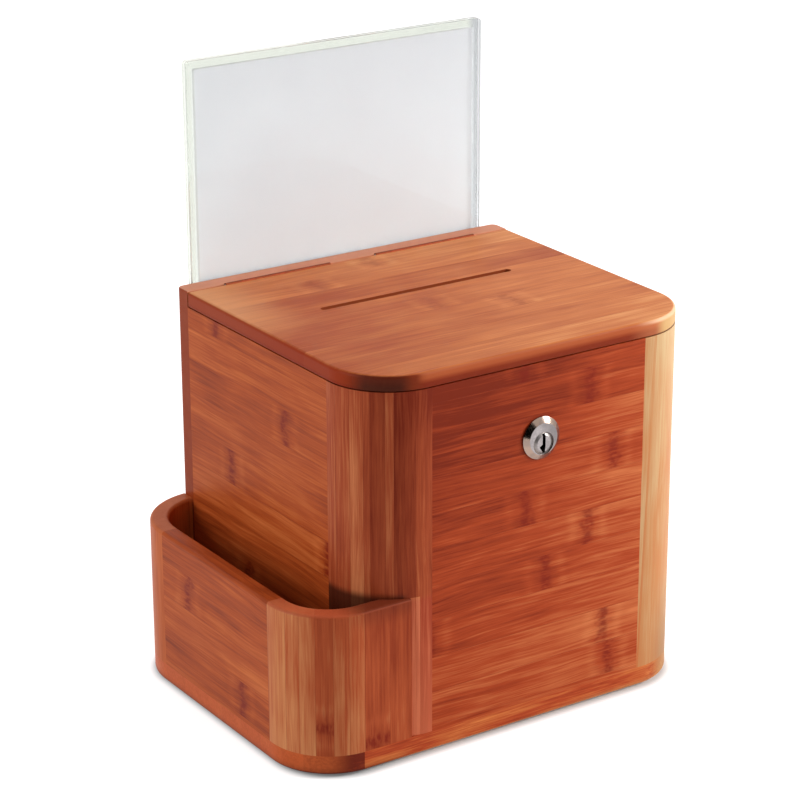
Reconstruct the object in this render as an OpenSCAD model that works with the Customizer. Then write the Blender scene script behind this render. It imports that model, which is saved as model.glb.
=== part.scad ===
// Bamboo ballot box with a rounded front, a pen and card pocket on its left side,
// a hinged lid with a paper slot, a cam lock and an upright sign holder behind.
// The part stands on its pads: x runs to the right, y to the back and z up.

/* [Carcass] */
// Width of the box across the front, without the side pocket
box_w = 226; // [200:1:260]
// Depth of the box, from its front face to the rear face of the back board
box_d = 204; // [180:1:240]
// Height of the closed box above the underside of its base
box_h = 224.5; // [205:0.5:250]
// Outer radius of the rounded corner posts
corner_r = 38; // [30:1:44]
// Straight run of a corner piece past its curve
corner_run = 3; // [1:0.5:8]
// Thickness of the walls and posts
wall_t = 11; // [9:0.5:13]
// Thickness of the base board
base_t = 11.5; // [8:0.5:14]
// Thickness of the back board
back_t = 12.8; // [11:0.1:16]
// Radius of the back board's upright rear edges
back_r = 4; // [2:0.5:6]
// Rounding along the base board's lower edge
base_round = 2; // [0.5:0.25:3]

/* [Side pocket] */
// How far the pocket stands out from the left side of the box
pocket_out = 40; // [35:1:60]
// Height of the pocket's rim above the underside of the base
pocket_h = 95.5; // [70:0.5:130]
// Outer radius of the pocket's rear corner
pocket_rear_r = 43; // [36:1:50]
// Where the pocket's front wall ends against the round post, from the box's left side
scribe_x = 27.5; // [20:0.5:32]
// Rounding along both edges of the rim
rim_round = 2; // [1:0.25:4]

/* [Lid] */
// Thickness of the lid
lid_t = 9; // [8:0.5:12]
// Rounding along the lid's upper edge
lid_round = 2; // [1:0.25:3.5]
// Length of the paper slot
slot_len = 132; // [100:1:150]
// Width of the paper slot
slot_w = 4.6; // [4.6:0.1:8]
// Distance of the slot's centre line from the front face
slot_y = 121; // [90:1:140]
// Shadow gap between the lid and the walls under it
lid_gap = 0.4; // [0.2:0.1:1]
// Seam between the lid and the back board
seam = 1; // [0.5:0.1:1.2]

/* [Hinges] */
// Length of one hinge
hinge_len = 72; // [50:1:80]
// Distance between the middles of the two hinges
hinge_pitch = 104; // [90:1:130]
// Number of knuckles in one hinge
knuckles = 7; // [3:2:9]
// Radius of a knuckle
knuckle_r = 1.4; // [1.4:0.1:1.8]
// Radius of the hinge pin
pin_r = 0.7; // [0.7:0.05:0.9]
// Depth of the hinge axis below the lid's upper face
axis_drop = 0.5; // [0.4:0.1:0.8]

/* [Lock] */
// Height of the middle of the lock's flange above the underside of the base
lock_z = 171.2; // [165:0.2:176]
// Radius of the lock's flange
flange_r = 12.4; // [12:0.1:14]
// Thickness of the flange in front of the panel
flange_t = 3; // [2.5:0.1:4]
// Radius of the turning plug
plug_r = 6.2; // [6:0.1:6.4]
// How far the plug's axis lies below the middle of the flange
plug_drop = 2.6; // [2:0.1:2.7]
// Length of the lock's threaded barrel behind the front face
barrel_len = 27; // [26:0.5:28]
// Reach of the cam from the middle of the lock to its tip
cam_len = 30; // [28:0.5:34]

/* [Sign holder] */
// Width of the sign holder
sign_w = 204; // [150:1:216]
// Top of the sign holder above the underside of the base
sign_top = 355.6; // [300:0.2:380]
// Thickness of one sheet of the holder
sheet_t = 2; // [1.5:0.1:3]
// Gap between the two sheets
sheet_gap = 1.2; // [1:0.1:2]
// Length of the holder's tail below the top of the box
sign_tail = 48; // [40:1:80]
// Clear border around the card
card_border = 5; // [2:0.5:8]
// Distance between the two screws that hold the sign holder
sign_screw_pitch = 136; // [80:2:140]

/* [Pads] */
// Height of a pad under the base
pad_h = 1.6; // [1:0.1:4]
// Radius of a pad
pad_r = 7; // [5:0.5:10]

/* [Hidden] */
$fn = 96;
edge_fn = 32;
over = 1;
fit = 0.05;
edge_ease = 0.8;

wall_top = box_h - lid_t - lid_gap;
wall_h = wall_top - base_t;
rim_h = pocket_h - base_t;
corner_span = corner_r + corner_run;
pocket_rear_span = pocket_rear_r + corner_run;
back_face_y = box_d - back_t;
lid_d = back_face_y - seam;

hinge_y = back_face_y - seam / 2;
hinge_z = box_h - axis_drop;
knuckle_step = hinge_len / knuckles;
knuckle_gap = 0.15;
knuckle_room = 0.3;
leaf_t = 1;
leaf_h = 7.8;
leaf_y = 0.15;
leaf_screw_z = -4.6;
leaf_screw_r = 1.2;
leaf_screw_len = 10.5;
leaf_head_r = 2.25;
leaf_screw_x = [10, hinge_len / 2, hinge_len - 10];
hinge_left_x = [for (s = [-1, 1]) box_w / 2 + s * hinge_pitch / 2 - hinge_len / 2];

lock_x = box_w / 2;
turn_z = lock_z - plug_drop;
flange_rim = 0.8;
flange_slope = 3.1;
seat_r = plug_r + 0.6;
seat_t = 0.9;
plug_proud = 0.4;
plug_face_r = 4.6;
plug_chamfer = 1.2;
lock_proud = flange_t + plug_proud;
barrel_r = 9.5;
barrel_flat = 8;
barrel_room = 0.1;
nut_t = 3;
nut_af = 24;
cam_t = 2;
cam_w = 10;
cam_hub_r = 7.5;
cam_play = 0.3;
cam_room = 0.8;
cam_z = barrel_len + cam_play;
drive = 7;
drive_short = 0.2;
cam_screw_r = 2;
cam_screw_len = 9;
cam_washer_r = 5;
cam_washer_t = 0.8;
cam_head_r = 3.8;
cam_head_t = 2.3;
cam_head_round = 1.2;
keyway_w = 2;
keyway_h = 11.4;
keyway_depth = 16;
keyway_foot = 0.9;
ward_w = 4;
ward_h = 4;
ward_rise = 1.4;

strike_t = 1.5;
strike_w = 16;
strike_side = 13;
strike_x = lock_x + strike_side;
strike_y = cam_z + cam_t + cam_room;
strike_lip = 4.7;
strike_lip_z = turn_z - cam_w / 2 - cam_room;
strike_flange = 20;
strike_screws_y = [7, 15];
strike_screw_r = 1.45;
strike_head_r = 2.9;
strike_screw_len = 8;
strike_bend = 1.35;

holder_t = 2 * sheet_t + sheet_gap;
holder_z = box_h - sign_tail;
sheet_corner = 2;
sign_screw_drop = 32;
sign_screw_z = box_h - sign_screw_drop;
sign_screw_r = 1.7;
sign_screw_x = [for (s = [-1, 1]) (box_w + s * sign_screw_pitch) / 2];
sign_screw_len = 10.5;
washer_r = 4.6;
washer_t = 0.8;
sign_head_r = 3.6;
sign_head_t = 2;
sign_head_round = 1.4;
card_t = 0.4;

base_screw_r = 1.75;
base_screw_len = 30;
base_head_r = 3.5;
base_head_t = 2.6;
base_screw_sink = 0.3;
// Places of the base screws, as shares of the box's width or depth
front_screws = [0.31, 0.69];
side_screws = [0.36, 0.76];
back_screws = [0.26, 0.74];
pocket_screws = [0.34, 0.62];
base_screws = concat(
    [for (s = front_screws) [box_w * s, wall_t / 2]],
    [for (s = side_screws, x = [wall_t / 2, box_w - wall_t / 2]) [x, box_d * s]],
    [for (s = back_screws) [box_w * s, box_d - back_t / 2]],
    [for (s = pocket_screws) [wall_t / 2 - pocket_out, box_d * s]]
);
// Insets of the pads at the front left, front right, back right and back left
pad_inset = [24, 24, 20, 26];
pads = [
    [-pocket_out + pad_inset[0], pad_inset[0]],
    [box_w - pad_inset[1], pad_inset[1]],
    [box_w - pad_inset[2], box_d - pad_inset[2]],
    [-pocket_out + pad_inset[3], box_d - pad_inset[3]],
];

overall_w = box_w + pocket_out;
overall_d = lock_proud + box_d + holder_t + washer_t + sign_head_t;

lid_wood = [0.80, 0.49, 0.34];
panel_wood = [0.69, 0.33, 0.19];
post_wood = [0.80, 0.55, 0.36];
base_wood = [0.74, 0.37, 0.22];
clear = [0.86, 0.92, 0.92, 0.35];
paper = [0.97, 0.97, 0.96];
chrome = [0.82, 0.83, 0.85];
brass = [0.72, 0.55, 0.30];
zinc = [0.66, 0.67, 0.69];
rubber = [0.12, 0.12, 0.12];

// Moves a piece from the box's own corner to the middle of the whole object
module placed() {
    translate([pocket_out - overall_w / 2, lock_proud - overall_d / 2, pad_h]) children();
}

// What a rounded corner takes off a square one
module corner_notch(r) {
    difference() {
        translate([-over, -over]) square(r + over);
        translate([r, r]) circle(r);
    }
}

// Rectangle with its own radius at the front left, front right, back right and back left
module rounded_plan(w, d, r) {
    difference() {
        square([w, d]);
        if (r[0] > 0) corner_notch(r[0]);
        if (r[1] > 0) translate([w, 0]) rotate(90) corner_notch(r[1]);
        if (r[2] > 0) translate([w, d]) rotate(180) corner_notch(r[2]);
        if (r[3] > 0) translate([0, d]) rotate(270) corner_notch(r[3]);
    }
}

// Section of what is cut away to round an upper edge that lies at the origin
module edge_section(e) {
    difference() {
        translate([-e, -e]) square(e + over);
        translate([-e, -e]) circle(e, $fn = edge_fn);
    }
}

// Rounds a straight edge that runs along x and faces the front
module edge_run(len, e) {
    rotate([90, 0, 90]) linear_extrude(len) mirror([1, 0]) edge_section(e);
}

// Rounds the edge of a quarter turn of radius r
module edge_turn(r, e) {
    rotate_extrude(angle = 90) translate([r, 0]) edge_section(e);
}

// Rounds the edge of a full circle of radius r
module edge_turn_full(r, e) {
    rotate_extrude() translate([r, 0]) edge_section(e);
}

// Rounds the whole upper edge of a board with the plan of rounded_plan
module edge_all_round(w, d, r, e) {
    translate([r[0], 0]) edge_run(w - r[0] - r[1], e);
    translate([w, r[1]]) rotate(90) edge_run(d - r[1] - r[2], e);
    translate([w - r[2], d]) rotate(180) edge_run(w - r[2] - r[3], e);
    translate([0, d - r[3]]) rotate(270) edge_run(d - r[3] - r[0], e);
    if (r[0] > 0) translate([r[0], r[0]]) rotate(180) edge_turn(r[0], e);
    if (r[1] > 0) translate([w - r[1], r[1]]) rotate(270) edge_turn(r[1], e);
    if (r[2] > 0) translate([w - r[2], d - r[2]]) edge_turn(r[2], e);
    if (r[3] > 0) translate([r[3], d - r[3]]) rotate(90) edge_turn(r[3], e);
}

// Countersunk screw: its flat face lies at the origin and it points up
module countersunk(r, head_r, head_t, len) {
    cylinder(r1 = head_r, r2 = r, h = head_t);
    cylinder(r = r, h = len - r);
    translate([0, 0, len - r]) cylinder(r1 = r, r2 = r / 4, h = r);
}

// Room for a countersunk screw, open below its head
module countersunk_room(r, head_r, head_t, len) {
    cylinder(r1 = head_r + fit, r2 = r + fit, h = head_t + fit);
    translate([0, 0, -over]) cylinder(r = r + fit, h = len + over);
    translate([0, 0, -over]) cylinder(r = head_r + fit, h = over);
}

module base_screw_places() {
    for (p = base_screws) translate([p[0], p[1], base_screw_sink]) children();
}

module base_screw_rooms() {
    base_screw_places()
        countersunk_room(base_screw_r, base_head_r, base_head_t, base_screw_len);
}

module base_board() color(base_wood) placed() {
    r = [corner_r, corner_r, back_r, pocket_rear_r];
    difference() {
        translate([-pocket_out, 0]) linear_extrude(base_t) rounded_plan(overall_w, box_d, r);
        translate([-pocket_out, 0]) mirror([0, 0, 1])
            edge_all_round(overall_w, box_d, r, base_round);
        base_screw_rooms();
    }
}

module base_pads() color(rubber) placed() {
    for (p = pads) translate([p[0], p[1], -pad_h]) cylinder(r = pad_r, h = pad_h);
}

module base_screws() color(zinc) placed() {
    base_screw_places() countersunk(base_screw_r, base_head_r, base_head_t, base_screw_len);
}

module front_panel() color(panel_wood) placed() {
    difference() {
        translate([corner_span, 0, base_t]) cube([box_w - 2 * corner_span, wall_t, wall_h]);
        at_lock() translate([0, 0, -over])
            cylinder(r = barrel_r + barrel_room, h = wall_t + 2 * over);
        base_screw_rooms();
    }
}

// Plan of a box corner post at the front left
module post_plan() {
    difference() {
        square(corner_span);
        corner_notch(corner_r);
        translate([wall_t, wall_t]) difference() {
            square(corner_span);
            corner_notch(corner_r - wall_t);
        }
    }
}

module left_corner_post() color(post_wood) placed() {
    translate([0, 0, base_t]) linear_extrude(wall_h) post_plan();
}

module right_corner_post() color(post_wood) placed() {
    translate([box_w, 0, base_t]) mirror([1, 0, 0]) linear_extrude(wall_h) post_plan();
}

module side_panel(x) {
    difference() {
        translate([x, corner_span, base_t]) cube([wall_t, back_face_y - corner_span, wall_h]);
        base_screw_rooms();
    }
}

module left_side_panel() color(panel_wood) placed() side_panel(0);

module right_side_panel() color(panel_wood) placed() side_panel(box_w - wall_t);

module back_board() color(panel_wood) placed() {
    r = [0, 0, back_r, back_r];
    difference() {
        translate([0, back_face_y, base_t]) linear_extrude(box_h - base_t)
            rounded_plan(box_w, back_t, r);
        translate([0, back_face_y, box_h]) edge_all_round(box_w, back_t, r, edge_ease);
        hinge_rooms();
        base_screw_rooms();
        sign_screw_places() cylinder(r = sign_screw_r + fit, h = sign_screw_len + over);
    }
}

// Section of a pocket wall with both edges of its rim rounded
module rim_section() {
    square([wall_t, rim_h - rim_round]);
    translate([rim_round, 0]) square([wall_t - 2 * rim_round, rim_h]);
    for (x = [rim_round, wall_t - rim_round])
        translate([x, rim_h - rim_round]) circle(rim_round, $fn = edge_fn);
}

// Quarter turn of pocket wall with outer radius r, from the x axis to the y axis
module rim_turn(r) {
    rotate_extrude(angle = 90) translate([r - wall_t, 0]) rim_section();
}

// Straight pocket wall along the outer left side, from y0 to y1
module rim_side(y0, y1) {
    translate([-pocket_out, y1, base_t]) rotate([90, 0, 0]) linear_extrude(y1 - y0)
        rim_section();
}

// The pocket's rounded front corner, hollowed where it seats on the box's round post
module pocket_front_corner() color(post_wood) placed() {
    turn_x = -pocket_out + corner_r;
    difference() {
        union() {
            translate([turn_x, corner_r, base_t]) rotate(180) rim_turn(corner_r);
            rim_side(corner_r, corner_span);
            translate([turn_x, 0, base_t]) rotate([90, 0, 90]) linear_extrude(scribe_x - turn_x)
                rim_section();
        }
        translate([corner_r, corner_r, 0]) cylinder(r = corner_r + fit, h = 2 * pocket_h);
    }
}

module pocket_side_wall() color(panel_wood) placed() {
    difference() {
        rim_side(corner_span, box_d - pocket_rear_span);
        base_screw_rooms();
    }
}

module pocket_rear_corner() color(post_wood) placed() {
    difference() {
        union() {
            translate([-pocket_out + pocket_rear_r, box_d - pocket_rear_r, base_t])
                rotate(90) rim_turn(pocket_rear_r);
            rim_side(box_d - pocket_rear_span, box_d - pocket_rear_r);
        }
        translate([0, box_d - pocket_rear_r, 0]) cube([box_w, box_d, 2 * pocket_h]);
    }
}

module slot_plan() {
    square([slot_len - slot_w, slot_w], center = true);
    for (s = [-1, 1]) translate([s * (slot_len - slot_w) / 2, 0]) circle(d = slot_w);
}

module lid() color(lid_wood) placed() {
    r = [corner_r, corner_r, 0, 0];
    under = box_h - lid_t;
    difference() {
        translate([0, 0, under]) linear_extrude(lid_t) rounded_plan(box_w, lid_d, r);
        translate([0, 0, box_h]) edge_all_round(box_w, 2 * lid_d, r, lid_round);
        translate([box_w, lid_d, box_h]) rotate(180) edge_run(box_w, edge_ease);
        translate([0, 0, under]) mirror([0, 0, 1]) edge_all_round(box_w, lid_d, r, edge_ease);
        translate([box_w / 2, slot_y, under - over]) linear_extrude(lid_t + 2 * over) slot_plan();
        hinge_rooms();
        strike_screw_places() countersunk_room(
            strike_screw_r, strike_head_r, strike_t, strike_screw_len);
    }
}

// Hinge places: the origin lies on the hinge axis at the hinge's left end
module hinge_places() {
    for (x = hinge_left_x) translate([x, hinge_y, hinge_z]) children();
}

// Screw places of one leaf: pointing into the back board, or into the lid when mirrored
module leaf_screw_places() {
    for (x = leaf_screw_x) translate([x, leaf_y, leaf_screw_z]) rotate([-90, 0, 0]) children();
}

module both_leaves() {
    children();
    mirror([0, 1, 0]) children();
}

// What the wood on both sides of the seam gives up for the hinges
module hinge_rooms() {
    hinge_places() {
        translate([-fit, 0, 0]) rotate([0, 90, 0])
            cylinder(r = knuckle_r + knuckle_room, h = hinge_len + 2 * fit);
        both_leaves() {
            translate([-fit, 0, -leaf_h - fit])
                cube([hinge_len + 2 * fit, leaf_y + leaf_t + fit, leaf_h + fit]);
            leaf_screw_places() cylinder(r = leaf_screw_r + fit, h = leaf_screw_len + fit);
        }
    }
}

// Knuckles number first, first + 2 and so on, each drawn with radius r and grown by grow
module knuckle_row(first, r, grow) {
    for (k = [first:2:knuckles - 1])
        translate([k * knuckle_step + knuckle_gap - grow, 0, 0]) rotate([0, 90, 0])
            cylinder(r = r, h = knuckle_step - 2 * knuckle_gap + 2 * grow);
}

// One leaf for the back board's side, with every second knuckle from number own
module hinge_leaf(own) {
    difference() {
        union() {
            translate([0, leaf_y, -leaf_h]) cube([hinge_len, leaf_t, leaf_h]);
            knuckle_row(own, knuckle_r, 0);
        }
        knuckle_row(1 - own, knuckle_r + knuckle_room, 2 * knuckle_gap);
        translate([-over, 0, 0]) rotate([0, 90, 0])
            cylinder(r = pin_r + fit, h = hinge_len + 2 * over);
        leaf_screw_places()
            countersunk_room(leaf_screw_r, leaf_head_r, leaf_t, leaf_screw_len);
    }
}

module hinge_body_leaves() color(brass) placed() hinge_places() hinge_leaf(0);

module hinge_lid_leaves() color(brass) placed() hinge_places()
    mirror([0, 1, 0]) hinge_leaf(1);

module hinge_pins() color(zinc) placed() hinge_places()
    rotate([0, 90, 0]) cylinder(r = pin_r, h = hinge_len);

module leaf_screws() {
    leaf_screw_places() countersunk(leaf_screw_r, leaf_head_r, leaf_t, leaf_screw_len);
}

module hinge_body_screws() color(brass) placed() hinge_places() leaf_screws();

module hinge_lid_screws() color(brass) placed() hinge_places()
    mirror([0, 1, 0]) leaf_screws();

// Middle of the flange: the origin lies on the box's front face and z runs into the box
module at_lock() {
    translate([lock_x, 0, lock_z]) rotate([-90, 0, 0]) children();
}

// The plug's axis, which lies off the middle to leave room for the pins above it
module at_plug() {
    translate([lock_x, 0, turn_z]) rotate([-90, 0, 0]) children();
}

// Half section of the flange: a low rim, a cone and a flat face
module flange_section() {
    polygon([
        [0, 0],
        [flange_r, 0],
        [flange_r, -flange_rim],
        [flange_r - flange_slope, -flange_t],
        [0, -flange_t],
    ]);
}

module lock_housing() color(chrome) placed() {
    difference() {
        at_lock() {
            rotate_extrude() flange_section();
            linear_extrude(barrel_len) intersection() {
                circle(barrel_r);
                square([2 * barrel_flat, 2 * barrel_r], center = true);
            }
        }
        at_plug() {
            translate([0, 0, -lock_proud - over])
                cylinder(r = plug_r + fit, h = barrel_len + 2 * lock_proud);
            translate([0, 0, -flange_t - over]) cylinder(r = seat_r, h = seat_t + over);
        }
    }
}

module lock_nut() color(zinc) placed() at_lock() {
    translate([0, 0, wall_t]) difference() {
        cylinder(d = nut_af / cos(30), h = nut_t, $fn = 6);
        translate([0, 0, -over]) cylinder(r = barrel_r + fit, h = nut_t + 2 * over);
    }
}

// The key's way: a narrow slot that widens in its lower half and tapers to its foot
module keyway_plan() {
    foot = keyway_h / 2;
    side = keyway_w / 2;
    polygon([
        [-side, -foot],
        [side, -foot],
        [side, foot - ward_h],
        [keyway_foot / 2, foot],
        [-keyway_foot / 2, foot],
        [side - ward_w, foot - ward_h],
        [-side, foot - ward_h - ward_rise],
    ]);
}

module lock_plug() color(chrome) placed() at_plug() {
    front = -lock_proud;
    difference() {
        union() {
            translate([0, 0, front]) cylinder(r1 = plug_face_r, r2 = plug_r, h = plug_chamfer);
            translate([0, 0, front + plug_chamfer])
                cylinder(r = plug_r, h = cam_z - front - plug_chamfer);
            translate([-drive / 2, -drive / 2, cam_z]) cube([drive, drive, cam_t - drive_short]);
        }
        translate([0, 0, front - over]) linear_extrude(keyway_depth) keyway_plan();
        translate([0, 0, cam_z + cam_t - cam_screw_len])
            cylinder(r = cam_screw_r + fit, h = cam_screw_len);
    }
}

// The cam stands upright while the box is unlocked
module lock_cam() color(zinc) placed() at_plug() {
    translate([0, 0, cam_z]) linear_extrude(cam_t) difference() {
        union() {
            circle(cam_hub_r);
            translate([-cam_w / 2, -cam_len + cam_w / 2]) square([cam_w, cam_len - cam_w / 2]);
            translate([0, -cam_len + cam_w / 2]) circle(cam_w / 2);
        }
        square(drive + 2 * fit, center = true);
    }
}

module cam_screw() color(zinc) placed() at_plug() {
    translate([0, 0, cam_z + cam_t]) {
        difference() {
            cylinder(r = cam_washer_r, h = cam_washer_t);
            translate([0, 0, -over])
                cylinder(r = cam_screw_r + fit, h = cam_washer_t + 2 * over);
        }
        translate([0, 0, cam_washer_t]) {
            translate([0, 0, -cam_screw_len]) cylinder(r = cam_screw_r, h = cam_screw_len + over);
            difference() {
                cylinder(r = cam_head_r, h = cam_head_t);
                translate([0, 0, cam_head_t]) edge_turn_full(cam_head_r, cam_head_round);
            }
        }
    }
}

// Upright section of the strike: y runs to the back and the second axis is up
module strike_section() {
    leg_h = box_h - lid_t - strike_lip_z + strike_t;
    difference() {
        union() {
            square([strike_t, leg_h]);
            translate([0, leg_h - strike_t]) square([strike_flange, strike_t]);
            translate([-strike_lip, 0]) square([strike_lip + strike_t, strike_t]);
        }
        translate([0, leg_h]) rotate(270) corner_notch(strike_bend);
        translate([strike_t, 0]) rotate(90) corner_notch(strike_bend);
    }
}

module lid_strike() color(zinc) placed() {
    difference() {
        translate([strike_x, strike_y, strike_lip_z - strike_t])
            rotate([90, 0, 90]) linear_extrude(strike_w) strike_section();
        strike_screw_places() countersunk_room(
            strike_screw_r, strike_head_r, strike_t, strike_screw_len);
    }
}

module strike_screw_places() {
    for (y = strike_screws_y)
        translate([strike_x + strike_w / 2, strike_y + y, box_h - lid_t - strike_t]) children();
}

module strike_screws() color(zinc) placed() {
    strike_screw_places()
        countersunk(strike_screw_r, strike_head_r, strike_t, strike_screw_len);
}

// Section of the folded sheet: the first axis runs to the back and the second is up
module holder_section() {
    fold_r = holder_t / 2;
    difference() {
        union() {
            translate([0, fold_r]) square([holder_t, sign_top - holder_z - fold_r]);
            translate([fold_r, fold_r]) circle(fold_r);
        }
        translate([sheet_t, fold_r]) square([sheet_gap, sign_top]);
        translate([fold_r, fold_r]) circle(sheet_gap / 2);
    }
}

module sign_holder() color(clear) placed() {
    holder_h = sign_top - holder_z;
    r = [0, 0, sheet_corner, sheet_corner];
    difference() {
        translate([(box_w - sign_w) / 2, box_d, holder_z]) intersection() {
            rotate([90, 0, 90]) linear_extrude(sign_w) holder_section();
            translate([0, holder_t]) rotate([90, 0, 0]) linear_extrude(holder_t)
                rounded_plan(sign_w, holder_h, r);
        }
        sign_screw_places() translate([0, 0, -holder_t - over])
            cylinder(r = sign_screw_r + fit, h = holder_t + 2 * over);
    }
}

// Screw places: the origin lies on the back board's rear face and z runs into the box
module sign_screw_places() {
    for (x = sign_screw_x) translate([x, box_d, sign_screw_z]) rotate([90, 0, 0]) children();
}

module sign_screws() color(zinc) placed() sign_screw_places()
    translate([0, 0, -holder_t - washer_t]) {
        cylinder(r = sign_screw_r, h = holder_t + washer_t + sign_screw_len);
        mirror([0, 0, 1]) difference() {
            cylinder(r = sign_head_r, h = sign_head_t);
            translate([0, 0, sign_head_t]) edge_turn_full(sign_head_r, sign_head_round);
        }
    }

module sign_washers() color(zinc) placed() sign_screw_places() {
    translate([0, 0, -holder_t - washer_t]) difference() {
        cylinder(r = washer_r, h = washer_t);
        translate([0, 0, -over]) cylinder(r = sign_screw_r + fit, h = washer_t + 2 * over);
    }
}

// The card stands on the two screws that hold the sign holder
module sign_card() color(paper) placed() {
    card_x = (box_w - sign_w) / 2 + card_border;
    card_y = box_d + sheet_t + (sheet_gap - card_t) / 2;
    foot = sign_screw_z + sign_screw_r + fit;
    translate([card_x, card_y, foot])
        cube([sign_w - 2 * card_border, card_t, sign_top - card_border - foot]);
}

base_board();
base_pads();
base_screws();
front_panel();
left_corner_post();
right_corner_post();
left_side_panel();
right_side_panel();
back_board();
pocket_front_corner();
pocket_side_wall();
pocket_rear_corner();
lid();
hinge_body_leaves();
hinge_lid_leaves();
hinge_pins();
hinge_body_screws();
hinge_lid_screws();
lock_housing();
lock_nut();
lock_plug();
lock_cam();
cam_screw();
lid_strike();
strike_screws();
sign_holder();
sign_card();
sign_screws();
sign_washers();
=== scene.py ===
"""Looks of a bamboo ballot box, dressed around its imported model. Units are metres."""

import math

import bpy
from mathutils import Matrix, Vector

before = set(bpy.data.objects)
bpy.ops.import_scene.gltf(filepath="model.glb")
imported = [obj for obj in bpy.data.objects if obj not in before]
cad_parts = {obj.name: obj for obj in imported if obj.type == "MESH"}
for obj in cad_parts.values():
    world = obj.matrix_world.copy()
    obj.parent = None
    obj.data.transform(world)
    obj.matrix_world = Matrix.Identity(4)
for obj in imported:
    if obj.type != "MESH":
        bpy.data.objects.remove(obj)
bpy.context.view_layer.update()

# Camera of the photograph
CAMERA_AT = Vector((-0.8290, -1.2461, 0.7206))
CAMERA_YAW = math.radians(-33.52)
CAMERA_PITCH = math.radians(20.30)
CAMERA_ROLL = math.radians(-0.20)
CAMERA_LENS = 124.49

X = Vector((1, 0, 0))
Y = Vector((0, 1, 0))
Z = Vector((0, 0, 1))
MM = 1000.0

# The lock plug's axis, the slot and the card in millimetres, and the footprint in metres
PLUG_X = 20.0
PLUG_Z = 170.2
SLOT_BOX = ((-60.0, 10.0, None), (100.0, 24.0, None))
CARD_BOX = ((-77.0, None, 178.0), (117.0, None, 352.0))
# Rounded rectangles round the footprint that shape the painted contact shadow, each (middle, half size,
# corner radius)
FOOT = ((Vector((0.0015, -0.0033, 0.0)), Vector((0.1325, 0.1022, 1.0)), 0.038),
        (Vector((0.05, 0.04, 0.0)), Vector((0.084, 0.0592, 1.0)), 0.004))


def srgb(r, g, b):
    """Linear colour of an sRGB colour given from 0 to 255."""
    def linear(c):
        c /= 255
        return c / 12.92 if c <= 0.04045 else ((c + 0.055) / 1.055) ** 2.4
    return (linear(r), linear(g), linear(b), 1.0)


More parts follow.
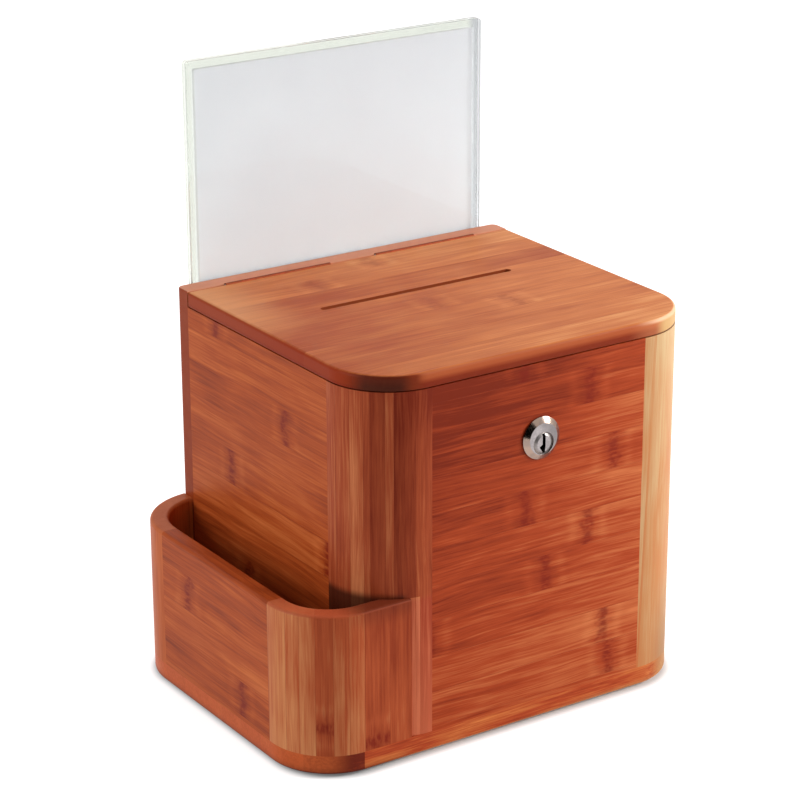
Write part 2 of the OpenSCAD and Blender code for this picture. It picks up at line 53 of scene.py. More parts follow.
class Graph:
    """Short calls that build one material's nodes."""

    def __init__(self, name):
        self.material = bpy.data.materials.new(name)
        self.material.use_nodes = True
        self.tree = self.material.node_tree
        self.tree.nodes.clear()
        place = self.node("ShaderNodeTexCoord").outputs
        self.coordinates = place["Object"]
        self.normal = place["Normal"]

    def node(self, kind, inputs=None, **settings):
        made = self.tree.nodes.new(kind)
        for key, value in settings.items():
            setattr(made, key, value)
        for key, value in (inputs or {}).items():
            self.put(made.inputs[key], value)
        return made

    def put(self, socket, value):
        if isinstance(value, bpy.types.NodeSocket):
            self.tree.links.new(value, socket)
        else:
            socket.default_value = value

    def math(self, operation, *values, clamp=False):
        made = self.node("ShaderNodeMath", operation=operation, use_clamp=clamp)
        for socket, value in zip(made.inputs, values):
            self.put(socket, value)
        return made.outputs[0]

    def along(self, direction, scale=MM):
        """How far the point lies along a direction, in millimetres."""
        dot = self.node("ShaderNodeVectorMath", operation="DOT_PRODUCT")
        self.put(dot.inputs[0], self.coordinates)
        self.put(dot.inputs[1], direction * scale)
        return dot.outputs["Value"]

    def facing(self, direction):
        """How much the surface faces a direction, from -1 to 1."""
        dot = self.node("ShaderNodeVectorMath", operation="DOT_PRODUCT")
        self.put(dot.inputs[0], self.normal)
        self.put(dot.inputs[1], direction)
        return dot.outputs["Value"]

    def inside(self, low_corner, high_corner):
        """1 inside a box given in millimetres, where None stands for no end."""
        result = 1.0
        for axis, low, high in zip((X, Y, Z), low_corner, high_corner):
            place = self.along(axis)
            if low is not None:
                result = self.math("MULTIPLY", result, self.math("GREATER_THAN", place, low))
            if high is not None:
                result = self.math("MULTIPLY", result, self.math("LESS_THAN", place, high))
        return result

    def outside(self, middle, half, radius):
        """How far the point lies outside a rounded rectangle on the floor, in metres."""
        place = self.coordinates
        steps = (("SUBTRACT", middle), ("ABSOLUTE", Vector()),
                 ("SUBTRACT", half - Vector((radius,) * 3)), ("MAXIMUM", Vector()))
        for operation, value in steps:
            step = self.node("ShaderNodeVectorMath", operation=operation)
            self.put(step.inputs[0], place)
            self.put(step.inputs[1], value)
            place = step.outputs["Vector"]
        reach = self.node("ShaderNodeVectorMath", operation="LENGTH")
        self.put(reach.inputs[0], place)
        return self.math("SUBTRACT", reach.outputs["Value"], radius)

    def vector(self, x, y, z):
        return self.node("ShaderNodeCombineXYZ", {"X": x, "Y": y, "Z": z}).outputs[0]

    def noise(self, vector, scale=1.0, detail=2.0, roughness=0.5, distortion=0.0):
        return self.node("ShaderNodeTexNoise", {
            "Vector": vector, "Scale": scale, "Detail": detail,
            "Roughness": roughness, "Distortion": distortion}).outputs["Fac"]

    def ramp(self, factor, stops, interpolation="LINEAR"):
        made = self.node("ShaderNodeValToRGB", {"Fac": factor})
        ramp = made.color_ramp
        ramp.interpolation = interpolation
        while len(ramp.elements) < len(stops):
            ramp.elements.new(1.0)
        for element, (place, colour) in zip(ramp.elements, stops):
            element.position = place
            element.color = colour
        return made.outputs["Color"]

    def span(self, value, low, high, to_low=0.0, to_high=1.0, smooth=True):
        kind = "SMOOTHSTEP" if smooth else "LINEAR"
        return self.node("ShaderNodeMapRange", {
            "Value": value, "From Min": low, "From Max": high,
            "To Min": to_low, "To Max": to_high}, interpolation_type=kind).outputs[0]

    def mix(self, factor, a, b, blend="MIX"):
        made = self.node("ShaderNodeMix", data_type="RGBA", blend_type=blend)
        self.put(made.inputs[0], factor)
        self.put(made.inputs[6], a)
        self.put(made.inputs[7], b)
        return made.outputs[2]

    def bump(self, height, distance, strength=1.0):
        return self.node("ShaderNodeBump", {
            "Height": height, "Distance": distance, "Strength": strength}).outputs[0]

    def finish(self, shader):
        out = self.node("ShaderNodeOutputMaterial")
        self.put(out.inputs["Surface"], shader)
        return self.material

    def principled(self, **inputs):
        named = {key.replace("_", " ").title(): value for key, value in inputs.items()}
        fixed = {"Ior": "IOR", "Specular Ior Level": "Specular IOR Level"}
        named = {fixed.get(key, key): value for key, value in named.items()}
        return self.node("ShaderNodeBsdfPrincipled", named).outputs[0]


# Bamboo
STREAK = (48.0, 1.3)
HAIR = (20.0, 0.5)
BROAD = (90.0, 5.5)
PATCH = (50.0, 26.0)
JOINT_HALF = 0.12
SAG_AT = 14.0
END_GRAIN = (srgb(110, 42, 24), 0.7)


def bamboo(name, grain, across, start, bands, tones, mark_colour, run=400.0, low=0.0, lean=0.0,
           drift=0.0, slopes=None, sags=None, grainy=1.0, mark_share=0.8, ends=(END_GRAIN, END_GRAIN),
           edge_colour=None, edge_share=0.6, blocks=(), dress=None):
    """Laminated bamboo.

    bands go from start along across, each (width, tone, node mark), in millimetres.
    The node mark's place is measured along the grain, and None leaves it out.
    tones are the colours of the darkest, middle and lightest strips.
    lean is how far the bands move across for each millimetre along the grain.
    drift is how much lighter the wood gets over 100 mm along the grain, and slopes are what
    each band adds to that. sags are how much darker each band is in the middle of the board.
    grainy is the contrast of the grain, and mark_share that of the node marks.
    ends are the colour and share of the end grain at the near and the far end.
    edge_colour is the colour that the faces across the bands lean to.
    blocks are boxes of another tone, each (low corner, high corner, change of tone),
    in millimetres, with None where a box has no end.
    dress is a function of the graph and the colour that adds what one board alone has.
    """
    g = Graph(name)
    u = g.along(grain)
    v = g.along(across - grain * lean)
    w = g.along(grain.cross(across))
    total = sum(width for width, _, _ in bands)
    edges = [sum(width for width, _, _ in bands[:i]) / total for i in range(len(bands))]

    def lookup(place, values):
        share = g.math("DIVIDE", g.math("SUBTRACT", place, start), total)
        stops = [(edge, (value,) * 3 + (1.0,)) for edge, value in zip(edges, values)]
        return g.node("ShaderNodeSeparateColor", {
            "Color": g.ramp(share, stops, "CONSTANT")}).outputs[0]

    count = len(bands)
    ids = [(i * 7 % count + 1) / (count + 1) for i in range(count)]
    band = lookup(v, ids)
    before = lookup(g.math("SUBTRACT", v, JOINT_HALF), ids)
    after = lookup(g.math("ADD", v, JOINT_HALF), ids)
    joint = g.math("GREATER_THAN", g.math("ABSOLUTE", g.math("SUBTRACT", before, after)), 0.001)
    tone = lookup(v, [t for _, t, _ in bands])
    mark_at = lookup(v, [0.0 if m is None else (m - low) / run for _, _, m in bands])
    has_mark = g.math("GREATER_THAN", mark_at, 0.0001)
    from_mark = g.math("SUBTRACT", u, g.math("ADD", g.math("MULTIPLY", mark_at, run), low))
    shift = g.math("MULTIPLY", band, 300.0)

    def centred(value, amount):
        return g.math("MULTIPLY", g.math("SUBTRACT", value, 0.5), amount)

    def blots(size, detail=2.0):
        """Noise that is drawn afresh for each band, at a size along and across the grain."""
        return g.noise(g.vector(
            g.math("DIVIDE", u, size[0]), g.math("DIVIDE", v, size[1]), band), 1.0, detail, 0.55)

    bent = g.math("ADD", v, centred(blots((75.0, 34.0), 1.0), 5.0))

    def grain_noise(size, detail, roughness):
        lengthwise = g.math("DIVIDE", g.math("ADD", u, shift), size[0])
        side = g.math("DIVIDE", g.math("ADD", bent, shift), size[1])
        deep = g.math("DIVIDE", w, size[1])
        return g.noise(g.vector(lengthwise, side, deep), 1.0, detail, roughness)

    # A node is a soft dark column across its strip, of short dashes, with a fainter one beside it
    near = g.math("ADD", from_mark, centred(blots((40.0, 9.0)), 9.0))
    off = g.math("ABSOLUTE", near)
    dashes = g.span(blots((6.0, 1.7)), 0.32, 0.6, 0.3, 1.0)
    column = g.math("MULTIPLY", g.span(off, 6.0, 0.8), dashes)
    fork = g.math("ABSOLUTE", g.math("ADD", near, centred(blots((60.0, 16.0)), 34.0)))
    faint = g.span(blots((9.0, 6.0)), 0.36, 0.66, 0.0, 0.7)
    beside = g.math("MULTIPLY", g.span(fork, 4.0, 0.5), faint)
    thread = grain_noise((14.0, 1.1), 2.0, 0.5)
    fringe = g.math("MULTIPLY", g.span(off, 18.0, 3.0), g.span(thread, 0.48, 0.7, 0.0, 0.5))
    smudge = g.math("MULTIPLY", beside, g.span(off, 13.0, 8.0))
    smudge = g.math("MAXIMUM", g.math("MAXIMUM", column, smudge), fringe)
    mark = g.math("MULTIPLY", has_mark, smudge, clamp=True)
    ring = g.math("ABSOLUTE", g.math("SUBTRACT", off, 11.0))
    halo = g.math("MULTIPLY", has_mark, g.span(ring, 6.0, 0.0))

    streak = grain_noise(STREAK, 3.0, 0.6)
    broad = grain_noise(BROAD, 2.0, 0.5)
    hair = grain_noise(HAIR, 2.0, 0.6)
    patch = grain_noise(PATCH, 2.0, 0.5)
    level = g.math("ADD", tone, centred(streak, 0.95 * grainy))
    level = g.math("ADD", level, centred(broad, 0.75 * grainy))
    level = g.math("ADD", level, centred(patch, 0.6))
    level = g.math("ADD", level, centred(hair, 0.5 * grainy))
    rise = drift
    if slopes is not None:
        rise = g.math("ADD", lookup(v, [slope + 0.5 for slope in slopes]), drift - 0.5)
    level = g.math("ADD", level, g.math("MULTIPLY", g.math("DIVIDE", u, 100.0), rise))
    if sags is not None:
        middling = g.span(g.math("ABSOLUTE", g.math("SUBTRACT", u, SAG_AT)), 40.0, 8.0)
        level = g.math("SUBTRACT", level, g.math("MULTIPLY", lookup(v, sags), middling))
    for low_corner, high_corner, change in blocks:
        inside = g.math("MULTIPLY", g.inside(low_corner, high_corner), change)
        level = g.math("ADD", level, inside)
    level = g.math("ADD", level, g.math("MULTIPLY", halo, 0.12), clamp=True)
    dark, middle, light = tones
    wood = g.ramp(level, [(0.0, dark), (0.5, middle), (1.0, light)])
    wood = g.mix(g.span(hair, 0.6, 0.76, 0.0, 0.22), wood, dark)
    wood = g.mix(g.math("MULTIPLY", mark, mark_share), wood, mark_colour)
    wood = g.mix(g.math("MULTIPLY", joint, 0.4), wood, dark)
    if edge_colour is not None:
        edge = g.span(g.math("ABSOLUTE", g.facing(across)), 0.3, 0.75, 0.0, edge_share)
        wood = g.mix(edge, wood, edge_colour)
    facing = g.facing(grain)
    for sign, (colour, share) in zip((-1.0, 1.0), ends):
        toward = g.math("MULTIPLY", facing, sign)
        fibres = g.mix(g.span(streak, 0.35, 0.65, 0.0, 0.25), colour, dark)
        wood = g.mix(g.span(toward, 0.2, 0.6, 0.0, share), wood, fibres)
    if dress is not None:
        wood = dress(g, wood)
    height = g.math("SUBTRACT", g.math("MULTIPLY", hair, 0.6), g.math("MULTIPLY", joint, 0.8))
    height = g.math("SUBTRACT", height, g.math("MULTIPLY", mark, 0.3))
    return g.finish(g.principled(
        base_color=wood, roughness=g.span(streak, 0.2, 0.8, 0.38, 0.5, False),
        specular_ior_level=0.08, coat_weight=0.03, coat_roughness=0.22, ior=1.5,
        normal=g.bump(height, 0.0001, 0.5)))


def even_bands(count, width, tones, marks):
    return [(width, tones[i % len(tones)], marks.get(i)) for i in range(count)]


def bands_to(start, *ends):
    """Bands that end at each place in turn, given as (end, tone, node mark)."""
    made = []
    for end, tone, mark in ends:
        made.append((end - start, tone, mark))
        start = end
    return made


PANEL_TONES = (srgb(122, 37, 12), srgb(173, 68, 32), srgb(209, 118, 71))
SIDE_TONES = (srgb(128, 46, 14), srgb(178, 80, 33), srgb(212, 116, 60))
LID_TONES = (srgb(158, 68, 28), srgb(200, 116, 62), srgb(234, 168, 108))
POST_TONES = (srgb(118, 35, 12), srgb(168, 76, 43), srgb(214, 131, 84))
POCKET_TONES = (srgb(134, 46, 20), srgb(180, 84, 47), srgb(214, 142, 92))
BACK_ENDS = ((srgb(140, 50, 8), 0.85), (srgb(110, 40, 20), 0.75))
PALE_TONES = (srgb(196, 114, 66), srgb(195, 134, 86), srgb(204, 174, 130))
BACK_TONES = (srgb(130, 44, 20), srgb(182, 90, 52), srgb(212, 130, 90))
BASE_TONES = (srgb(112, 36, 18), srgb(182, 74, 38), srgb(226, 138, 74))
PANEL_MARK = srgb(120, 24, 10)
LID_MARK = srgb(140, 56, 24)
BACK_EDGE = srgb(212, 144, 114)
BASE_ENDS = ((srgb(216, 106, 56), 0.75), (srgb(224, 152, 84), 0.7))
RIM_END = (srgb(184, 86, 54), 0.7)
REAR_END = (srgb(196, 112, 72), 0.6)


def lid_edge(g, wood):
    """The lid's edge is lighter above than below, dark round its left corner, partly from end grain and
    partly from painted shade, and pale at its right, and the lid itself is paler towards its rear left
    corner. Round its right front corner it has a painted highlight and a line of painted shade, and its
    slot's walls carry painted shade."""
    height = g.span(g.along(Z), 217.0, 226.0, 0.0, 1.0, False)
    upward = g.facing(Z)
    level = g.math("SQRT", g.math("SUBTRACT", 1.0, g.math("MULTIPLY", upward, upward), clamp=True))
    level = g.math("MAXIMUM", level, 0.05)
    left = g.math("DIVIDE", g.facing(-X), level)
    edge = g.ramp(height, [
        (0.0, srgb(120, 32, 10)), (0.34, srgb(126, 36, 12)), (0.5, srgb(154, 62, 30)),
        (0.64, srgb(174, 84, 46)), (0.84, srgb(178, 88, 50)), (1.0, srgb(172, 94, 60))])
    # Round the left corner the edge darkens: partly its end grain, partly painted shade
    edge = g.mix(g.span(left, 0.02, 0.2), edge, srgb(122, 42, 16))
    corner = g.ramp(height, [(0.3, srgb(66, 20, 10)), (0.9, srgb(92, 28, 12))])
    edge = g.mix(g.span(left, 0.2, 0.42), edge, corner)
    side = g.ramp(height, [(0.0, srgb(128, 30, 2)), (0.3, srgb(148, 46, 4))])
    edge = g.mix(g.span(left, 0.78, 0.99), edge, side)
    edge = g.mix(g.span(g.along(X), 78.0, 97.0, 0.0, 0.5), edge, srgb(204, 124, 84))
    right = g.span(g.math("DIVIDE", g.facing(X), level), 0.08, 0.34)
    edge = g.mix(right, edge, srgb(202, 162, 108))
    edge = g.mix(g.span(g.facing(Y), 0.3, 0.6), edge, srgb(116, 48, 24))
    pale = g.math("MULTIPLY", g.span(g.along(X), -50.0, -95.0), g.span(g.along(Y), -30.0, 50.0))
    wood = g.mix(g.math("MULTIPLY", pale, 0.55), wood, srgb(232, 168, 116))
    wood = g.mix(g.span(upward, 0.93, 0.6, 0.0, 0.94), wood, edge)
    # Painted shade: a grey line along the lid's right top edge behind its front corner
    painted_rim_shade = g.math("MULTIPLY", g.span(g.along(Y), -80.0, -66.0), g.span(g.facing(X), 0.1, 0.3))
    wood = g.mix(g.math("MULTIPLY", painted_rim_shade, 0.8), wood, srgb(150, 114, 92))
    # A painted highlight along the top edge round the right front corner
    painted_highlight = g.math("MULTIPLY", g.span(height, 0.7, 0.9), g.span(upward, 0.99, 0.86))
    painted_highlight = g.math("MULTIPLY", painted_highlight, g.span(g.along(X), 84.0, 106.0))
    painted_highlight = g.math("MULTIPLY", painted_highlight, g.span(g.along(Y), -66.0, -80.0, 0.0, 0.9))
    wood = g.mix(painted_highlight, wood, srgb(240, 192, 154))
    # Painted shade inside the slot: its walls are darkened
    slot = g.math("MULTIPLY", g.inside(*SLOT_BOX), g.span(upward, 0.95, 0.6))
    return g.mix(slot, wood, srgb(146, 66, 36))


def painted_foot_shade(g, wood):
    """The pale post is darker round its corner towards its foot: painted shade."""
    foot = g.math("MULTIPLY", g.span(g.along(Z), 78.0, 8.0), g.span(g.facing(X), 0.05, 0.6))
    return g.mix(foot, wood, srgb(213, 233, 246), "MULTIPLY")


def base_edge(g, wood):
    """The base's lower edge carries a painted highlight, most at the right, painted shade round its
    right end, and painted shade round the left corner, through which its grain shows."""
    # Painted shade low down round the left corner
    left = g.span(g.along(X), -50.0, -95.0)
    dark = g.math("MULTIPLY", left, g.span(g.along(Z), 7.0, 2.0, 0.0, 0.45))
    wood = g.mix(dark, wood, srgb(84, 26, 14))
    # Painted shade round the base's right end
    wood = g.mix(g.span(g.facing(X), 0.0, 0.55), wood, srgb(216, 236, 244), "MULTIPLY")
    # A painted highlight along the lower edge towards the right
    pale = g.math("MULTIPLY", g.span(g.along(X), 0.0, 80.0), g.span(g.along(Z), 6.0, 1.5, 0.0, 0.7))
    wood = g.mix(pale, wood, srgb(196, 136, 86))
    # The lower rounding: painted highlight at the right, painted shade at the left
    painted_edge_light = g.mix(left, srgb(226, 150, 92), srgb(84, 30, 16))
    return g.mix(g.span(g.facing(-Z), 0.1, 0.5, 0.0, 0.7), wood, painted_edge_light)


def crevice(g, wood):
    """The post is dark where it goes down behind the pocket's narrow end: painted shade. Beside the pocket
    it is redder, and paler towards its foot."""
    beside = g.math("MULTIPLY", g.inside((-66.5, None, None), (None, None, None)),
                    g.span(g.along(Z), 98.0, 94.0))
    wood = g.mix(beside, wood, srgb(255, 234, 255), "MULTIPLY")
    pale = g.math("MULTIPLY", beside, g.span(g.along(Z), 84.0, 12.0, 0.0, 0.6, False))
    wood = g.mix(pale, wood, srgb(216, 116, 80))
    # Painted shade on the post just above the pocket's rim
    low = g.span(g.along(Z), 101.5, 96.0, 0.0, 0.85)
    near = g.math("MULTIPLY", g.span(g.along(X), -124.0, -106.0), g.span(g.along(X), -66.0, -70.0))
    return g.mix(g.math("MULTIPLY", low, near), wood, srgb(50, 18, 9))


def shaded_rim(g, wood):
    """The pocket's rim carries painted shade towards its narrow end, also a little way down its face."""
    near = g.span(g.along(X), -112.0, -92.0)
    top = g.math("MULTIPLY", g.span(g.facing(Z), 0.3, 0.8, 0.0, 0.7), near)
    down = g.math("MULTIPLY", g.span(g.along(Z), 84.0, 97.5, 0.0, 0.4), near)
    return g.mix(g.math("MAXIMUM", top, down), wood, srgb(76, 26, 14))


STRIP = 21.3
PANEL_START = -6.0
# The panel grows lighter to the right and its top strips are darker: partly the boards' own tone, partly
# painted light, with painted shade at the upper left under the lid
panel_wood = bamboo(
    "bamboo_panel", X, Z, PANEL_START,
    even_bands(11, STRIP, [0.56, 0.6, 0.65, 0.45, 0.42, 0.46, 0.41, 0.39, 0.26, 0.1, 0.03],
               {1: 71.0, 2: 66.0, 3: -53.5, 4: 24.5, 5: 54.0, 6: 10.0, 7: 70.0, 9: 53.6, 10: 9.0}),
    PANEL_TONES, PANEL_MARK, 400.0, -200.0, drift=0.28, mark_share=0.72,
    slopes=[0.0, -0.25, -0.12, -0.05, -0.1, -0.08, 0.08, 0.0, 0.2, 0.1, 0.16],
    sags=[0.0, 0.0, 0.04, 0.0, 0.12, 0.05, 0.1, 0.04, 0.08, 0.0, 0.04])
side_wood = bamboo(
    "bamboo_side", Y, Z, PANEL_START,
    even_bands(11, STRIP, [0.5, 0.42, 0.56, 0.48, 0.4, 0.52, 0.46, 0.5, 0.42, 0.5, 0.45],
               {1: -34.0, 3: 24.7, 5: -62.0, 6: 40.0, 8: -20.0, 10: 55.0}),
    SIDE_TONES, PANEL_MARK, 400.0, -200.0)
lid_wood = bamboo(
    "bamboo_lid", X, Y, -105.0,
    even_bands(10, STRIP, [0.41, 0.31, 0.25, 0.25, 0.25, 0.27, 0.14, 0.36, 0.5, 0.62],
               {3: 54.0, 4: 14.0, 7: -25.0, 8: 26.0}),
    LID_TONES, LID_MARK, 400.0, -200.0, drift=0.14, grainy=0.7, mark_share=0.5, ends=(),
    slopes=[0.06, 0.04, -0.04, 0.0, 0.0, 0.0, -0.14, -0.04, -0.04, 0.0],
    sags=[0.0, 0.0, 0.02, 0.0, 0.06, 0.05, 0.0, 0.0, 0.0, 0.0], dress=lid_edge)
back_wood = bamboo(
    "bamboo_back", X, Z, PANEL_START + 9.0,
    even_bands(11, STRIP, [0.46, 0.56, 0.5, 0.42, 0.58, 0.5], {2: 30.0, 5: -60.0, 7: 12.0, 8: -30.0}),
    BACK_TONES, PANEL_MARK, 400.0, -200.0, ends=BACK_ENDS, edge_colour=BACK_EDGE,
    edge_share=0.75)
base_wood = bamboo(
    "bamboo_base", X, Y, -110.0,
    [(14.0, 0.55, None)] + even_bands(10, STRIP, [0.4, 0.52, 0.46], {2: -60.0}),
    BASE_TONES, PANEL_MARK, 400.0, -200.0, ends=BASE_ENDS, dress=base_edge,
    blocks=[((-130.0, None, None), (-96.6, -88.0, None), -0.6)])
corner_across = (X * 0.832 - Y * 0.554).normalized()
post_wood = bamboo(
    "bamboo_post", Z, corner_across, -60.0,
    bands_to(-60.0, (-44.0, 0.5, None), (-38.0, 0.5, None), (-30.0, 0.52, None),
             (-22.8, 0.99, None), (-19.0, 0.46, None), (-10.8, 0.5, None), (-6.2, 0.68, None),
             (5.6, 0.5, None), (14.3, 0.56, None), (40.0, 0.5, None)),
    POST_TONES, PANEL_MARK, 400.0, 0.0, grainy=0.8, dress=crevice,
    slopes=[0.0, 0.0, 0.0, -0.2, 0.0, -0.14, -0.12, -0.2, -0.19, 0.0],
    blocks=[((-65.6, None, None), (-62.5, None, 97.0), 0.45),
            ((-62.5, None, None), (-59.8, None, 97.0), 0.43)])
# The slopes darken the pocket's corner upwards to its rim: painted shade
pocket_wood = bamboo(
    "bamboo_pocket", Z, corner_across, -120.0,
    bands_to(-120.0, (-98.0, 0.5, None), (-75.9, 0.6, None), (-66.0, 0.78, None),
             (-58.0, 0.79, None), (-49.4, 0.8, None), (-39.6, 0.34, 30.0), (-30.4, 0.87, None),
             (-22.4, 0.66, None), (-9.0, 0.35, 18.0), (3.2, 0.42, None), (30.0, 0.5, None)),
    POCKET_TONES, PANEL_MARK, 400.0, 0.0, grainy=0.75, ends=(RIM_END, RIM_END), dress=shaded_rim,
    slopes=[0.0, 0.0, 0.0, -0.1, -0.2, 0.0, -0.43, -0.06, -0.17, -0.2, 0.0])
rear_wood = bamboo(
    "bamboo_rear", Z, corner_across, -140.0,
    even_bands(14, 11.0, [0.7, 0.8, 0.64, 0.76], {}),
    SIDE_TONES, PANEL_MARK, 400.0, 0.0, grainy=0.7, ends=(REAR_END, REAR_END))
PALE_LEAN = 0.0286
pale_wood = bamboo(
    "bamboo_pale", Z, corner_across, 90.0,
    bands_to(90.0, (110.0, 0.1, None), (122.0, 0.0, None), (133.9, 0.6, None),
             (134.9, 0.0, None), (141.0, 0.45, None), (180.0, 0.36, None)),
    PALE_TONES, PANEL_MARK, 400.0, 0.0, PALE_LEAN, drift=0.42, grainy=0.6, dress=painted_foot_shade,
    slopes=[0.0, 0.0, -0.36, -0.1, -0.19, -0.18])


def chrome(name, is_plug):
    """Polished plating. The plug's face is duller and so is the ring that it sits in. Its colour carries
    painted reflections: a darker cloud, and on the housing a darker upper right and a warmer bevel.
    """
    g = Graph(name)
    haze = g.noise(g.coordinates, 900.0, 3.0)
    cloud = g.noise(g.coordinates, 170.0, 1.0)
    scratch = g.noise(g.coordinates, 4000.0, 2.0)
    aside = g.math("SUBTRACT", g.along(X), PLUG_X)
    aloft = g.math("SUBTRACT", g.along(Z), PLUG_Z)
    off = g.math("SQRT", g.math("ADD", g.math("MULTIPLY", aside, aside),
                                g.math("MULTIPLY", aloft, aloft)))
    colour = g.ramp(haze, [(0.3, srgb(138, 132, 132)), (0.7, srgb(158, 150, 150))])
    if is_plug:
        colour = g.mix(g.span(off, 4.2, 5.6, 0.0, 0.5), colour, srgb(142, 135, 129))
        rough = g.span(off, 3.4, 4.6, 0.16, 0.42)
    else:
        # Painted dark reflection over the housing towards its upper right
        corner = g.math("ADD", aside, g.math("MULTIPLY", aloft, 0.4))
        colour = g.mix(g.span(corner, -1.0, 9.0, 0.0, 0.6), colour, srgb(104, 98, 98))
        # Painted reflection: the bevel round the front face takes a warmer tint for the wood it mirrors
        colour = g.mix(g.span(g.facing(-Y), 0.97, 0.9), colour, srgb(160, 138, 124))
        rough = g.span(off, 6.9, 6.4, 0.12, 0.5)
    # Painted reflections: a soft darker cloud over the plating
    colour = g.mix(g.span(cloud, 0.4, 0.64, 0.0, 0.3), colour, srgb(104, 100, 102))
    rough = g.math("ADD", rough, g.span(haze, 0.3, 0.7, 0.0, 0.08, False))
    return g.finish(g.principled(
        base_color=colour, metallic=1.0, roughness=rough, normal=g.bump(scratch, 0.00001, 0.3)))


def plated(name, dark, light, rough):
    """Dull plated or solid metal with a fine mottle."""
    g = Graph(name)
    mottle = g.noise(g.coordinates, 700.0, 4.0, 0.65)
    return g.finish(g.principled(
        base_color=g.ramp(mottle, [(0.3, dark), (0.7, light)]), metallic=1.0,
        roughness=g.span(mottle, 0.3, 0.7, rough, rough + 0.15, False),
        normal=g.bump(mottle, 0.00003, 0.4)))


def acrylic():
    """Clear sheet, a little milky outside the card and greyer down its right edge."""
    g = Graph("clear_acrylic")
    smear = g.noise(g.coordinates, 14.0, 2.0)
    edge = g.span(g.math("ABSOLUTE", g.facing(Y)), 0.9, 0.5)
    over_card = g.inside(*CARD_BOX)
    margin = g.mix(g.span(g.along(X), 114.0, 118.0), srgb(228, 231, 225), srgb(206, 208, 210))
    sheet = g.mix(over_card, margin, srgb(246, 250, 254))
    cover = g.math("MAXIMUM", g.span(over_card, 0.0, 1.0, 0.8, 0.45, False), g.math("MULTIPLY", edge, 0.9))
    return g.finish(g.principled(
        base_color=g.mix(edge, sheet, srgb(206, 212, 198)), transmission_weight=1.0,
        ior=1.3, alpha=cover, roughness=g.span(smear, 0.4, 0.7, 0.0, 0.03, False)))


def card_stock():
    g = Graph("card_stock")
    pulp = g.noise(g.coordinates, 1800.0, 4.0, 0.7)
    cloud = g.noise(g.coordinates, 24.0, 2.0)
    # Painted shade: the card darkens towards its top and its right, with a random mottle
    painted_shade_and_mottle = g.math("ADD", g.span(g.along(Z), 220.0, 350.0, -0.03, 0.62, False),
                  g.span(g.along(X), -77.0, 117.0, 0.0, 0.26, False))
    painted_shade_and_mottle = g.math("ADD", painted_shade_and_mottle, g.math("MULTIPLY", g.math("SUBTRACT", cloud, 0.5), 0.25), clamp=True)
    white = g.ramp(painted_shade_and_mottle, [(0.0, srgb(241, 247, 248)), (1.0, srgb(200, 200, 202))])
    return g.finish(g.principled(
        base_color=g.mix(g.span(pulp, 0.4, 0.7, 0.0, 0.08), white, srgb(212, 212, 214)),
        roughness=0.6, normal=g.bump(pulp, 0.00003, 0.4)))


def rubber():
    g = Graph("rubber")
    grit = g.noise(g.coordinates, 2500.0, 3.0, 0.6)
    return g.finish(g.principled(
        base_color=g.ramp(grit, [(0.3, srgb(24, 24, 25)), (0.7, srgb(44, 44, 45))]),
        roughness=g.span(grit, 0.3, 0.7, 0.65, 0.85, False), normal=g.bump(grit, 0.00008, 0.5)))


CHROME = chrome("chrome", False)
ZINC = plated("zinc", srgb(150, 152, 156), srgb(190, 192, 195), 0.28)
BRONZE = plated("bronze", srgb(118, 54, 34), srgb(148, 74, 48), 0.5)
RED_BRONZE = plated("red_bronze", srgb(120, 48, 30), srgb(156, 76, 50), 0.5)
FINISHES = {
    "lid": lid_wood,
    "base_board": base_wood,
    "front_panel": panel_wood,
    "back_board": back_wood,
    "left_side_panel": side_wood,
    "right_side_panel": side_wood,
    "pocket_side_wall": side_wood,
    "left_corner_post": post_wood,
    "right_corner_post": pale_wood,
    "pocket_front_corner": pocket_wood,
    "pocket_rear_corner": rear_wood,
    "lock_housing": CHROME,
    "lock_plug": chrome("chrome_plug", True),
    "hinge_body_leaves": BRONZE,
    "hinge_lid_leaves": RED_BRONZE,
    "hinge_body_screws": BRONZE,
    "hinge_lid_screws": BRONZE,
    "sign_holder": acrylic(),
    "sign_card": card_stock(),
    "base_pads": rubber(),
}
for name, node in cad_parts.items():
    node.data.materials.clear()
    node.data.materials.append(FINISHES.get(name, ZINC))


def place_camera():
    back = Vector((
        math.sin(CAMERA_YAW) * math.cos(CAMERA_PITCH),
        -math.cos(CAMERA_YAW) * math.cos(CAMERA_PITCH),
        math.sin(CAMERA_PITCH)))
    right = (-back).cross(Z).normalized()
    up = right.cross(-back)
    tilt = Matrix.Rotation(CAMERA_ROLL, 3, back)
    data = bpy.data.cameras.new("camera")
    data.lens = CAMERA_LENS
    data.sensor_width = 36.0
    data.clip_start = 0.05
    data.clip_end = 50.0
    camera = bpy.data.objects.new("camera", data)
    bpy.context.scene.collection.objects.link(camera)
    turn = Matrix((tilt @ right, tilt @ up, back)).transposed()
    camera.matrix_world = Matrix.Translation(CAMERA_AT) @ turn.to_4x4()
    bpy.context.scene.camera = camera


def lamp(name, at, target, size, power, colour=(1.0, 1.0, 1.0)):
    data = bpy.data.lights.new(name, "AREA")
    data.size = size
    data.energy = power
    data.color = colour
    light = bpy.data.objects.new(name, data)
    bpy.context.scene.collection.objects.link(light)
    light.location = at
    light.visible_camera = False
    light.rotation_euler = (Vector(target) - Vector(at)).to_track_quat("-Z", "Y").to_euler()
    return light


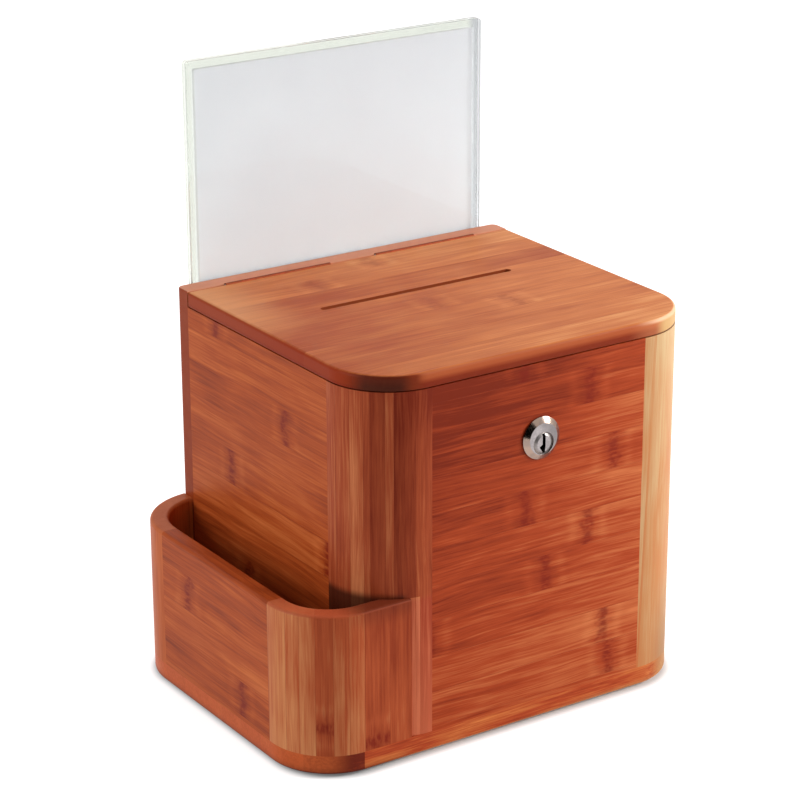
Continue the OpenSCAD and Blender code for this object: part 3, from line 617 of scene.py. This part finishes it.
def flag(at, target, size):
    """A black card that only reflections see."""
    half = size / 2
    mesh = bpy.data.meshes.new("flag")
    mesh.from_pydata(
        [(-half, -half, 0), (half, -half, 0), (half, half, 0), (-half, half, 0)], [], [(0, 1, 2, 3)])
    card = bpy.data.objects.new("flag", mesh)
    bpy.context.scene.collection.objects.link(card)
    card.location = at
    card.rotation_euler = (Vector(target) - Vector(at)).to_track_quat("-Z", "Y").to_euler()
    card.visible_camera = False
    card.visible_diffuse = False
    card.visible_transmission = False
    card.visible_shadow = False
    g = Graph("flag")
    mesh.materials.append(g.finish(g.node("ShaderNodeBsdfDiffuse", {
        "Color": srgb(18, 18, 18)}).outputs[0]))


def seen_directly(g):
    """1 for what the camera sees, straight or through gloss and glass."""
    path = g.node("ShaderNodeLightPath").outputs
    seen = g.math("MAXIMUM", path["Is Camera Ray"], path["Is Glossy Ray"])
    return g.math("MAXIMUM", seen, path["Is Transmission Ray"])


def studio():
    floor_mesh = bpy.data.meshes.new("floor")
    half = 6.0
    floor_mesh.from_pydata(
        [(-half, -half, 0), (half, -half, 0), (half, half, 0), (-half, half, 0)], [], [(0, 1, 2, 3)])
    floor = bpy.data.objects.new("floor", floor_mesh)
    bpy.context.scene.collection.objects.link(floor)
    g = Graph("floor")
    plain = g.node("ShaderNodeBsdfDiffuse", {"Color": srgb(214, 212, 210)}).outputs[0]
    shaded = g.node("ShaderNodeBsdfDiffuse", {"Color": (0.62, 0.62, 0.62, 1)}).outputs[0]
    far = g.node("ShaderNodeVectorMath", operation="LENGTH")
    g.put(far.inputs[0], g.coordinates)
    strength = g.span(far.outputs["Value"], 0.4, 2.0, 0.76, 0.82)
    # The glow fades under and just round the box: a painted contact shadow along the line where it stands
    clear = g.math("MINIMUM", *(g.outside(*part) for part in FOOT))
    strength = g.math("MULTIPLY", strength, g.span(clear, -0.003, 0.0055, 0.15, 1.0))
    glow = g.node("ShaderNodeEmission", {"Color": (1, 1, 1, 1), "Strength": strength}).outputs[0]
    bright = g.node("ShaderNodeAddShader")
    g.put(bright.inputs[0], shaded)
    g.put(bright.inputs[1], glow)
    both = g.node("ShaderNodeMixShader")
    g.put(both.inputs[0], seen_directly(g))
    g.put(both.inputs[1], plain)
    g.put(both.inputs[2], bright.outputs[0])
    floor_mesh.materials.append(g.finish(both.outputs[0]))

    world = bpy.data.worlds.new("studio")
    bpy.context.scene.world = world
    world.use_nodes = True
    tree = world.node_tree
    tree.nodes.clear()
    path = tree.nodes.new("ShaderNodeLightPath")
    ambient = tree.nodes.new("ShaderNodeBackground")
    ambient.inputs["Color"].default_value = (1.0, 0.99, 0.98, 1)
    ambient.inputs["Strength"].default_value = 0.34
    white = tree.nodes.new("ShaderNodeBackground")
    white.inputs["Color"].default_value = (1, 1, 1, 1)
    white.inputs["Strength"].default_value = 1.0
    seen = tree.nodes.new("ShaderNodeMath")
    seen.operation = "MAXIMUM"
    tree.links.new(path.outputs["Is Camera Ray"], seen.inputs[0])
    either = tree.nodes.new("ShaderNodeMath")
    either.operation = "MAXIMUM"
    tree.links.new(path.outputs["Is Glossy Ray"], seen.inputs[1])
    tree.links.new(seen.outputs[0], either.inputs[0])
    tree.links.new(path.outputs["Is Transmission Ray"], either.inputs[1])
    mix = tree.nodes.new("ShaderNodeMixShader")
    tree.links.new(either.outputs[0], mix.inputs[0])
    tree.links.new(ambient.outputs[0], mix.inputs[1])
    tree.links.new(white.outputs[0], mix.inputs[2])
    out = tree.nodes.new("ShaderNodeOutputWorld")
    tree.links.new(mix.outputs[0], out.inputs["Surface"])

    lamp("key", (1.1, -0.8, 0.7), (0.06, -0.08, 0.14), 0.5, 20.0, (1.0, 0.985, 0.96))
    lamp("top", (0.5, 0.5, 1.9), (0, 0, 0.2), 1.2, 11.0)
    lamp("side", (-1.6, 0.3, 0.7), (0, 0, 0.1), 1.0, 12.0)
    flag((-0.62, -1.06, 0.43), (0.02, -0.104, 0.17), 1.3)


place_camera()
studio()
bpy.context.scene.view_settings.view_transform = "Standard"
